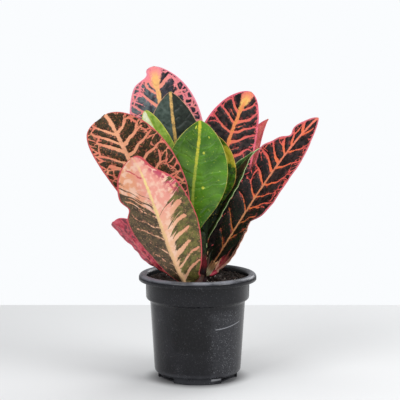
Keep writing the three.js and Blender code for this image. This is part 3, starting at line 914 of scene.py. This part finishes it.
def mark_distances(sheet, random):
    """Each vertex's distance from the veins, band, margin and rib, and its place among the cells."""
    leaf, along, reach, right = sheet.leaf, sheet.along, sheet.reach, sheet.right
    x, y = sheet.laid.T
    warp = np.c_[
        1.1 * np.sin(y / 7 + 0.05 * x) + 0.6 * np.sin(y / 3.1 + x / 5),
        1.1 * np.sin(x / 6 + 1) + 0.7 * np.sin(x / 2.7 + y / 6),
    ]
    vein, band = np.full(len(along), FAR), np.full(len(along), FAR)
    for hand, chosen in ((LEFT, ~right), (RIGHT, right)):
        points = sheet.laid[chosen] + warp[chosen] * np.clip(reach[chosen] / 8, 0, 1)[:, None]
        vein[chosen] = distance_to(side_veins(leaf, hand, sheet.length, random), points)
        if "band" in leaf:
            places_along, *widths = zip(*leaf["band"])
            band[chosen] = reach[chosen] - np.interp(along[chosen], places_along, widths[hand])
    at_base, at_tip = leaf["rib_width"]
    rib = reach - at_base - (at_tip - at_base) * along
    tip = reach - sheet.by_half(leaf["flare"]) * np.clip((along - TIP_FROM) / TIP_SPAN, 0, 1) ** 1.5
    tip += FAR * np.clip((TIP_FROM + TIP_FADE - along) / 0.1, 0, 1)
    edge = sheet.half - reach
    if "crease" in leaf:
        crease = np.array([(x, sheet.length - back, width) for x, back, width in leaf["crease"]])
        edge = np.minimum(edge, distance_to([crease], sheet.laid) + CREASE_WIDTH)
    slant = sheet.by_half(leaf["rise"]) / sheet.widths
    cells = np.c_[
        (reach + warp[:, 0]) / CELL_LENGTH + 50 * sheet.sign,
        (sheet.distance - slant * sheet.length * reach + warp[:, 1]) / CELL_WIDTH,
        tip,
    ]
    return vein, band, edge, rib, cells


# %% Bend the blade
QUILT = 0.35  # how far the blade is drawn in at its side veins
QUILT_SPREAD = 1.6
RIPPLE = 0.35  # height of the fine waves along the margin
RIPPLES = 9
MARGIN_THINNING = 0.35


def bend_blade(sheet, vein, rib):
    """Carries the upper side to its place, and gives back the thickness at each vertex."""
    leaf, along, across, reach = sheet.leaf, sheet.along, sheet.across, sheet.reach
    middle, face, side = rib_frame(sheet)
    fold = np.radians(sheet.by_half(leaf["fold"]))
    bend = np.radians(sheet.by_half(leaf["curl"])) / sheet.widths
    slope = fold + bend * reach
    curled = np.abs(bend) > 1e-6
    safe = np.where(curled, bend, 1)
    out = np.where(curled, (np.sin(slope) - np.sin(fold)) / safe, reach * np.cos(fold))
    up = np.where(curled, (np.cos(fold) - np.cos(slope)) / safe, reach * np.sin(fold))
    height, count, start = leaf["wave"]
    hand = sheet.right.astype(float)
    wave = height * across**2 * np.sin(2 * math.pi * (count * along + start + 0.4 * hand))
    wave += RIPPLE * across**4 * np.sin(2 * math.pi * (RIPPLES * along + 0.3 * hand + start))
    wave *= np.sqrt(np.sin(math.pi * np.clip(along, 0, 1)) + 1e-9)
    from_vein = np.maximum(np.minimum(vein, rib), 0) / QUILT_SPREAD
    quilt = -QUILT * np.exp(-(from_vein**2)) * np.clip(reach / 3, 0, 1)
    normal = face * np.cos(slope)[:, None] - side * (sheet.sign * np.sin(slope))[:, None]
    normal[across == 0] = face[across == 0]
    surface = middle + side * (sheet.sign * out)[:, None] + face * (up + wave + quilt)[:, None]
    put(sheet.mesh, surface + normal * BLADE_THICKNESS / 2)
    ridge = 2 * STALK_RADIUS * (1 - along) ** 1.5 * np.exp(-((reach / RIDGE_REACH) ** 2))
    return BLADE_THICKNESS * (1 - MARGIN_THINNING * across**4 * np.clip(along * 20, 0, 1)) + ridge


# %% Build one leaf
def build_leaf(name, leaf, materials):
    sheet = Sheet(name, leaf)
    vein, band, edge, rib, cells = mark_distances(sheet, np.random.default_rng(sum(map(ord, name))))
    thickness = bend_blade(sheet, vein, rib)
    below = sheet.step / STALK_ROWS - 1  # from -1 to 0 along the stalk
    for attribute, values in {
        "flat_place": np.c_[sheet.laid, np.zeros(len(sheet.laid))],
        "cells": cells,
        "marks": np.c_[vein, band, edge],
        "share": np.c_[np.where(below < 0, below, sheet.along), sheet.across, rib],
    }.items():
        layer = sheet.mesh.attributes.new(attribute, "FLOAT_VECTOR", "POINT")
        layer.data.foreach_set("vector", values.astype(np.float32).ravel())
    piece = new_piece(f"croton_{name}", sheet.mesh, [f"leaf_{name}"], materials)
    group = piece.vertex_groups.new(name="thickness")
    most = float(thickness.max())
    for i, amount in enumerate(thickness / most):
        group.add([i], float(amount), "REPLACE")
    solid = piece.modifiers.new("thickness", "SOLIDIFY")
    solid.thickness = most * MM
    solid.vertex_group = group.name
    solid.offset = -1
    solid.material_offset = 1
    solid.material_offset_rim = 0
    return piece


# %% [markdown]
# ### Colouring a blade
# Each vertex carries how far it lies from the nearest side vein, the pale band along the rib, the margin, the
# rib and the coloured tip, and it is below 0 inside them. A crease counts as margin. Interpolated over the
# mesh's small cells, those distances let the shader draw edges far finer than the mesh. A little noise is
# added to each before it is compared, so that no edge is a clean line. Towards the margin, Voronoi cells cut
# the patches between the veins into smaller ones.
#
# A look is a finish's colours and numbers. Its patches have two mottled tones, which may differ on the right
# half and near the base. Its veins have one tone near the rib, one near the margin and one here and there. A
# `net` is how wide the veins between the small cells are, and below 0 there are none. The `shake` is how
# ragged all edges are.


# %% Read the marks
class Skin:
    """A leaf material in the making, with the marks that all of its layers read."""

    def __init__(self, name, look, seed):
        self.material, tree, self.shader = new_material(name)
        self.look, self.seed = look, seed
        self.flat, share, marks, self.net = [
            wire(tree, "ShaderNodeAttribute", {}, output="Vector", attribute_name=place)
            for place in ("flat_place", "share", "marks", "cells")
        ]
        self.vein, self.band, self.edge = marks.parts()
        self.along, self.across, self.rib = share.parts()
        self.tip = self.net.parts()[2]
        self.wide = self.across.calc("ABSOLUTE")
        self.lumps = self.grain(7, 2, 0) - 0.5
        self.rough_edge = self.grain(1.9, 3, 5) - 0.5
        self.wander = self.lumps * 2.4 + self.rough_edge * 2.6
        self.mottle = self.grain(look["mottle"], 3, 9).ramp(0.36, 0.64)
        if "base_patch" in look:
            self.near_base = self.along.ramp(*look["base_zone"], 1.0, 0.0)

    def grain(self, size, detail, seed):
        """Noise on the flat blade, different in each finish."""
        return grain(self.flat, size, detail, self.seed + seed)

    def inside(self, distance, amount=0.0, softness=0.3, shake=1.0):
        """1 where distance is below amount, with a soft and shaken edge."""
        shaken = self.wander * (shake * self.look["shake"]) + distance
        return shaken.ramp(amount - softness, amount + softness, 1.0, 0.0)

    def mottled(self, tones):
        return blend(self.mottle, *tones)

    def spot(self, along, across, spread):
        """A soft round spot there on the blade."""
        rise = (self.along - along) * (1 / spread)
        reach = (self.across - across) * (0.3 / spread)
        return (reach * reach + rise * rise + self.rough_edge * 1.2).ramp(0.5, 1.1, 1.0, 0.0)


# %% Patches and veins
def patches(skin):
    """The colour between the veins."""
    look = skin.look
    colour = skin.mottled(look["patch"])
    if "right_patch" in look:
        colour = blend(skin.across.ramp(-0.02, 0.02), colour, skin.mottled(look["right_patch"]))
    if "base_patch" in look:
        colour = blend(skin.near_base, colour, skin.mottled(look["base_patch"]))
    specks = skin.grain(1.4, 2, 13).ramp(*look["speck_range"])
    colour = blend(specks * look["speck"], colour, look["speck_colour"])
    blots = skin.grain(3.4, 3, 41).ramp(0.55, 0.62) * skin.vein.ramp(0.4, 4.0, look["blots"], 0.0)
    colour = blend(blots, colour, look["vein"][1])
    if "dark_blots" in look:
        colour = blend(skin.grain(6, 3, 61).ramp(0.5, 0.58, 0.0, 0.85), colour, look["dark_blots"])
    return colour


def vein_tone(skin):
    near, far, odd = skin.look["vein"]
    tone = blend(skin.wide.ramp(0.2, 0.8), near, far)
    tone = blend(skin.lumps.ramp(-0.1, 0.2, 0.0, 0.6), tone, odd)
    if "base_patch" in skin.look:
        tone = blend(skin.near_base, tone, skin.look["base_vein"])
    return tone


def veined(skin, colour, tone):
    """The small cells, the side veins and the odd pale spots."""
    look, size = skin.look, skin.look["cells"]
    cell = wire(
        skin.net.tree, "ShaderNodeTexVoronoi", {"Vector": skin.net, "Scale": 1 / size}, output="Distance",
        feature="DISTANCE_TO_EDGE", voronoi_dimensions="2D",
    )
    width = skin.wide.ramp(*look["net_zone"], -0.7, look["net"])
    if "base_patch" in look:
        width -= skin.along.ramp(0.3, 0.6, 1.6, 0.0)
    colour = blend(skin.inside(cell * (CELL_WIDTH * size) - width), colour, tone)
    colour = blend(skin.inside(skin.vein, look["vein_width"]), colour, tone)
    if "spots" in look:
        spot_tone, *spots = look["spots"]
        for place in spots:
            colour = blend(skin.spot(*place), colour, spot_tone)
    return colour


# %% Band, tip, margin and rib
def banded(skin, colour):
    """The pale wash that spreads from the rib over an old leaf's underside, with streaks along its veins."""
    along, across = skin.along, skin.across
    low, high, flush, aside = skin.look["band"]
    wash = blend(along.ramp(0.35, 0.7), low, high)
    wash = blend(across.ramp(0.05, 0.5, 0.0, 0.85), wash, aside)
    # Pale flush blotches over the wash: partly the wash's own tone, partly a painted highlight.
    wash = blend(skin.grain(6, 4, 3).ramp(0.46, 0.62, 0.0, 0.8), wash, flush)
    along_veins = wire(skin.net.tree, "ShaderNodeMapping", {"Vector": skin.net, "Scale": (0.25, 1.7, 0)})
    streaks = grain(along_veins, 1, 3, skin.seed + 50) - 0.5
    streaked = streaks * along.ramp(0.35, 0.62, 14.0, 80.0) + skin.band
    colour = blend(skin.inside(streaked, 0.0, 1.2, 1.6), colour, wash)
    blotch = skin.grain(4.5, 4, 31).ramp(0.44, 0.53, 0.0, 0.9)
    blotch *= across.ramp(-0.8, -0.35, 1.0, 0.0) * along.ramp(0.64, 0.72)
    return blend(blotch, colour, skin.look["blotch"])


def tip_tone(skin):
    """Warm along the rib, and flushed beside it and at the very tip."""
    warm, flush = skin.look["tip"]
    tone = blend((skin.rough_edge * 7.0 + skin.rib).ramp(-1.0, 5.0), warm, flush)
    return blend(skin.along.ramp(0.93, 0.99, 0.0, 0.9), tone, flush)


def edged(skin, colour):
    look, along = skin.look, skin.along
    # A painted band of light beside the margin, where a curled blade's edge is lit.
    if "painted_edge_light" in look:
        colour = blend(skin.edge.ramp(1.5, 7.0, 0.9, 0.0), colour, look["painted_edge_light"])
    width = look["margin_width"]
    width = along.ramp(0.6, 1.0, width, look.get("tip_margin", width))
    margin = skin.inside(skin.edge - width, 0.0, 0.5)
    if "margin_from" in look:
        margin *= (along - skin.across.ramp(-0.1, 0.1, *look["margin_from"])).ramp(0.0, 0.13)
    return blend(margin, colour, look["margin_colour"])


def ribbed(skin, colour, vein):
    look, along = skin.look, skin.along
    tone = blend(along.ramp(0.3, 0.95), *look["rib"])
    tone = blend(skin.wander.ramp(-0.3, 0.7, 0.0, 0.55), tone, vein)
    if "tip" in look:
        tone = blend(along.ramp(0.9, 0.96), tone, tip_tone(skin))
    rib = skin.inside(skin.rib, 0.0, 0.6, 1.1)
    if "band" in look:
        rib *= along.ramp(0.82, 0.94, 1.0, 0.3)
    colour = blend(rib, colour, tone)
    colour = blend(along.ramp(-0.12, 0.0, 1.0, 0.0), colour, look["stalk"])
    if "sheath" in look:
        colour = blend(along.ramp(-0.7, -0.3, 1.0, 0.0), colour, look["sheath"])
    return colour


# %% Put a finish together
ROUGHNESS_SPREAD = 0.14


def leaf_skin(name, look, seed):
    skin = Skin(name, look, seed)
    vein = vein_tone(skin)
    colour = veined(skin, patches(skin), vein)
    if "band" in look:
        colour = banded(skin, colour)
    if "tip" in look:
        colour = blend(skin.inside(skin.tip, 0.0, 1.2, 2.0), colour, tip_tone(skin))
    bumps = skin.vein.ramp(0.0, 1.6) * 0.8 + skin.grain(1.1, 2, 21) * 0.25 + skin.lumps * 0.8
    feed(skin.shader, {
        "Base Color": ribbed(skin, edged(skin, colour), vein),
        "Specular IOR Level": look["shine"],
        "Roughness": skin.lumps.ramp(-0.3, 0.3, look["gloss"], look["gloss"] + ROUGHNESS_SPREAD),
        "Normal": relief(bumps, look["relief"]),
    })
    return skin.material


# %% [markdown]
# ### The finishes
# One croton carries leaves of several ages, and each age has its own colours: the youngest are plain green
# with a yellow rib, and with time the green darkens to near black while the veins turn from yellow to coral
# and pink. The undersides are duller and redder. What a finish leaves out is as in `PLAIN_LOOK`. `speck` and
# `blots` are how strong the specks and the blots in the veins' colour are, `mottle` is how large the patches'
# tones are, in millimetres, `cells` scales the small cells, `net` is how wide the veins between them are, and
# `margin_from` is where along each half the pale margin begins.

# %% Finishes
PLAIN_LOOK = dict(
    speck=0.3, speck_range=(0.58, 0.66), mottle=5, blots=0.0, net=-0.9, cells=1.0, net_zone=(0.45, 0.95),
    vein_width=0.0, margin_width=1.3, stalk=(70, 40, 30), shake=0.6, gloss=0.3, shine=0.5, relief=0.35,
)

LOOKS = {
    "salmon_net": dict(
        patch=[(36, 30, 14), (70, 56, 26)], speck_colour=(196, 112, 76), speck=0.55, mottle=4, blots=0.6,
        vein=[(248, 174, 134), (232, 128, 104), (244, 170, 128)], net=0.8, net_zone=(0.4, 0.95), cells=1.7,
        rib=[(250, 192, 148), (248, 176, 136)], margin_colour=(206, 92, 90), shake=0.8, gloss=0.42, shine=0.3,
    ),
    # Left half: grey-teal patches as a painted sky reflection; right half: the leaf's own near black.
    "pink_net": dict(
        patch=[(46, 52, 62), (104, 116, 120)], right_patch=[(20, 20, 28), (50, 46, 60)],
        speck_colour=(150, 110, 118), speck=0.25, blots=0.5,
        vein=[(246, 150, 130), (244, 134, 144), (248, 158, 136)], net=0.8, net_zone=(0.25, 0.85), cells=1.7,
        rib=[(248, 170, 116), (252, 196, 120)], tip=[(252, 196, 116), (246, 134, 146)],
        margin_colour=(240, 142, 160), margin_width=1.8, shake=0.75, gloss=0.36, shine=0.4,
    ),
    "coral_net": dict(
        patch=[(8, 7, 7), (26, 21, 20)], right_patch=[(18, 15, 15), (50, 42, 43)],
        base_patch=[(5, 12, 6), (15, 28, 15)], base_vein=(176, 100, 50), base_zone=(0.25, 0.5),
        speck_colour=(130, 66, 62), blots=0.3, vein=[(238, 116, 70), (222, 88, 84), (234, 108, 80)], net=0.6,
        cells=1.3, rib=[(202, 142, 98), (240, 128, 104)], margin_colour=(212, 106, 118), margin_width=1.7,
        margin_from=(0.55, 0.3), stalk=(186, 140, 96), shake=0.7, gloss=0.4, shine=0.2,
    ),
    "coral_net_yellow_tip": dict(
        patch=[(18, 16, 18), (54, 46, 46)], speck_colour=(120, 70, 62), blots=0.3,
        vein=[(240, 120, 92), (228, 96, 100), (238, 116, 104)], net=0.6, net_zone=(0.6, 1.0), cells=1.2,
        rib=[(236, 122, 74), (248, 160, 92)], tip=[(253, 208, 112), (246, 132, 112)],
        margin_colour=(232, 108, 128), margin_width=1.9, margin_from=(-0.2, 0.5), shake=0.75, gloss=0.4,
        shine=0.2,
    ),
    # Left half: paler grey-green patches as a painted sheen; right half: the leaf's own dark green.
    "deep_green": dict(
        patch=[(50, 66, 58), (82, 98, 90)], right_patch=[(28, 36, 30), (44, 54, 46)],
        speck_colour=(100, 116, 104), speck=0.12, vein=[(50, 62, 52), (52, 64, 52), (56, 70, 54)],
        vein_width=-0.3, rib=[(218, 176, 80), (240, 192, 116)], margin_colour=(200, 150, 116),
        margin_width=0.5, stalk=(70, 80, 40), shake=0.4, relief=0.12,
    ),
    "spotted_green": dict(
        patch=[(54, 94, 16), (92, 138, 30)], right_patch=[(64, 114, 20), (94, 148, 34)],
        speck_colour=(210, 222, 84), speck=0.9, speck_range=(0.67, 0.71), mottle=20,
        vein=[(100, 150, 44), (104, 152, 46), (116, 162, 58)],
        spots=[
            (206, 216, 70), (0.94, -0.35, 0.022), (0.72, 0.22, 0.014), (0.41, 0.3, 0.016), (0.86, 0.5, 0.01),
        ],
        rib=[(176, 196, 70), (222, 210, 60)], margin_colour=(190, 186, 84), margin_width=0.55,
        stalk=(60, 80, 30), shake=0.4, gloss=0.2, relief=0.25,
    ),
    # Left half: near-white patches as a painted gloss sheen; right half: the leaf's own green.
    "young_green": dict(
        patch=[(204, 226, 150), (240, 244, 214)], right_patch=[(128, 174, 56), (172, 206, 90)],
        speck_colour=(190, 210, 90), vein=[(120, 170, 40), (120, 170, 40), (150, 190, 60)], vein_width=-0.1,
        rib=[(170, 200, 80), (206, 216, 90)], margin_colour=(206, 212, 90), margin_width=0.8,
        stalk=(80, 110, 40), shake=0.4, gloss=0.22, relief=0.2,
    ),
    "yellow_edged": dict(
        patch=[(34, 70, 10), (84, 128, 22)], base_patch=[(8, 20, 6), (20, 40, 14)], base_vein=(24, 42, 16),
        base_zone=(0.2, 0.45), speck_colour=(214, 180, 40), speck=0.7, speck_range=(0.62, 0.7),
        vein=[(70, 110, 30), (76, 112, 30), (96, 124, 40)], vein_width=-0.1,
        spots=[(196, 186, 50), (0.77, 0.78, 0.09), (0.7, 0.95, 0.05)], rib=[(36, 56, 20), (210, 180, 70)],
        margin_colour=(204, 154, 70), margin_width=0.55, margin_from=(0.35, 0.35), stalk=(20, 30, 12),
        shine=0.3, relief=0.2,
    ),
    # Near-black patches are painted shade inside the curl; the lighter green band by the margin is painted
    # light.
    "pale_edged": dict(
        patch=[(7, 16, 7), (16, 34, 12)], right_patch=[(9, 22, 9), (22, 46, 16)], speck_colour=(70, 100, 46),
        speck=0.2, vein=[(40, 76, 32), (42, 78, 34), (54, 90, 40)], vein_width=-0.1,
        rib=[(60, 90, 40), (90, 130, 60)], painted_edge_light=(54, 100, 36), margin_colour=(184, 204, 146),
        margin_width=0.9, stalk=(20, 26, 14), shine=0.25, relief=0.2,
    ),
    "crimson": dict(
        patch=[(196, 34, 64), (230, 92, 112)], dark_blots=(104, 16, 38), speck_colour=(70, 14, 30), speck=0.6,
        vein=[(214, 90, 96), (196, 46, 72), (150, 30, 54)], net=-0.2, rib=[(226, 100, 96), (216, 80, 92)],
        margin_colour=(226, 96, 116), margin_width=1.4, gloss=0.45,
    ),
    "pink_under": dict(
        patch=[(70, 62, 28), (112, 108, 50)], right_patch=[(64, 50, 34), (92, 76, 50)],
        speck_colour=(196, 150, 104), speck=0.45, blots=0.3,
        vein=[(242, 188, 152), (226, 150, 118), (236, 172, 130)], net=-0.3,
        rib=[(236, 190, 140), (252, 228, 150)],
        # The band's third tone, the pale flush, is partly its own colour and partly a painted highlight.
        band=[(240, 188, 150), (240, 160, 144), (250, 208, 184), (234, 160, 114)], blotch=(188, 48, 88),
        margin_colour=(206, 78, 84), margin_width=1.0, tip_margin=2.2, shake=0.8, gloss=0.5,
    ),
    "dull_under": dict(
        patch=[(74, 50, 46), (104, 70, 58)], speck_colour=(150, 96, 80),
        vein=[(196, 120, 100), (180, 96, 92), (196, 128, 100)], net=0.3,
        rib=[(212, 160, 110), (212, 146, 108)], margin_colour=(190, 84, 96), margin_width=1.2,
        stalk=(190, 146, 100), sheath=(255, 250, 200), gloss=0.5,
    ),
    "green_under": dict(
        patch=[(74, 108, 48), (96, 130, 62)], speck_colour=(120, 144, 80), speck=0.2,
        vein=[(112, 140, 72), (112, 140, 72), (120, 146, 76)], vein_width=-0.1,
        rib=[(180, 190, 106), (190, 190, 106)], margin_colour=(160, 180, 96), margin_width=0.8,
        stalk=(60, 80, 30), gloss=0.5,
    ),
    "shaded_green": dict(
        patch=[(10, 20, 8), (24, 44, 18)], speck_colour=(40, 60, 30), speck=0.2,
        vein=[(20, 40, 16), (22, 42, 18), (30, 50, 22)], vein_width=-0.1, rib=[(80, 70, 34), (90, 84, 40)],
        margin_colour=(44, 58, 26), margin_width=0.8, stalk=(20, 26, 14), gloss=0.34, relief=0.25,
    ),
    "pink_edged": dict(
        patch=[(10, 16, 8), (26, 34, 16)], base_patch=[(190, 40, 68), (234, 118, 124)],
        base_vein=(236, 150, 136), base_zone=(0.14, 0.26), speck_colour=(60, 50, 30),
        vein=[(70, 60, 34), (60, 50, 30), (80, 60, 36)], net=-0.2, rib=[(200, 100, 90), (70, 60, 34)],
        margin_colour=(255, 196, 172), margin_width=4.4, stalk=(196, 50, 76), gloss=0.45,
    ),
    "coral_under": dict(
        patch=[(240, 100, 104), (252, 140, 134)], base_patch=[(16, 28, 12), (40, 54, 24)],
        base_vein=(50, 50, 26), base_zone=(0.55, 0.8), speck_colour=(180, 56, 68), speck=0.35,
        vein=[(236, 120, 108), (230, 98, 98), (240, 128, 110)], net=0.1, rib=[(70, 60, 36), (236, 120, 106)],
        margin_colour=(232, 98, 112), margin_width=1.2, margin_from=(0.68, 0.68), gloss=0.45,
    ),
}
SEED_STEP = 3.7  # so that no two finishes share their noise
skins = {
    name: leaf_skin(name, {**PLAIN_LOOK, **look}, SEED_STEP * i)
    for i, (name, look) in enumerate(LOOKS.items())
}

# %% Dress every leaf
# Each leaf's upper side, underside and material slot.
DRESS = {
    "front_left": ("salmon_net", "pink_under", "leaf_pink"),
    "left": ("salmon_net", "dull_under", "leaf_olive"),
    "low_left": ("crimson", "crimson", "leaf_crimson"),
    "back_left": ("pink_net", "dull_under", "leaf_dark"),
    "dark_green": ("deep_green", "green_under", "leaf_deep_green"),
    "young": ("young_green", "green_under", "leaf_green"),
    "centre": ("spotted_green", "green_under", "leaf_green"),
    "behind_centre": ("yellow_edged", "green_under", "leaf_green"),
    "curled": ("pale_edged", "pale_edged", "leaf_deep_green"),
    "back_right": ("coral_net_yellow_tip", "dull_under", "leaf_dark"),
    "red_back": ("coral_under", "coral_under", "leaf_crimson"),
    "right": ("coral_net", "dull_under", "leaf_dark"),
    "low_right": ("pink_edged", "coral_under", "leaf_crimson"),
    "rear_left": ("coral_net", "dull_under", "leaf_dark"),
    "rear_right": ("shaded_green", "green_under", "leaf_dark"),
}
faces = 0
for name, leaf in LEAVES.items():
    upper, under, slot = DRESS[name]
    piece = build_leaf(name, leaf, [skins[upper], skins[under]])
    faces += 4 * len(piece.data.polygons)
print("leaves:", len(LEAVES), "with about", faces, "triangles")
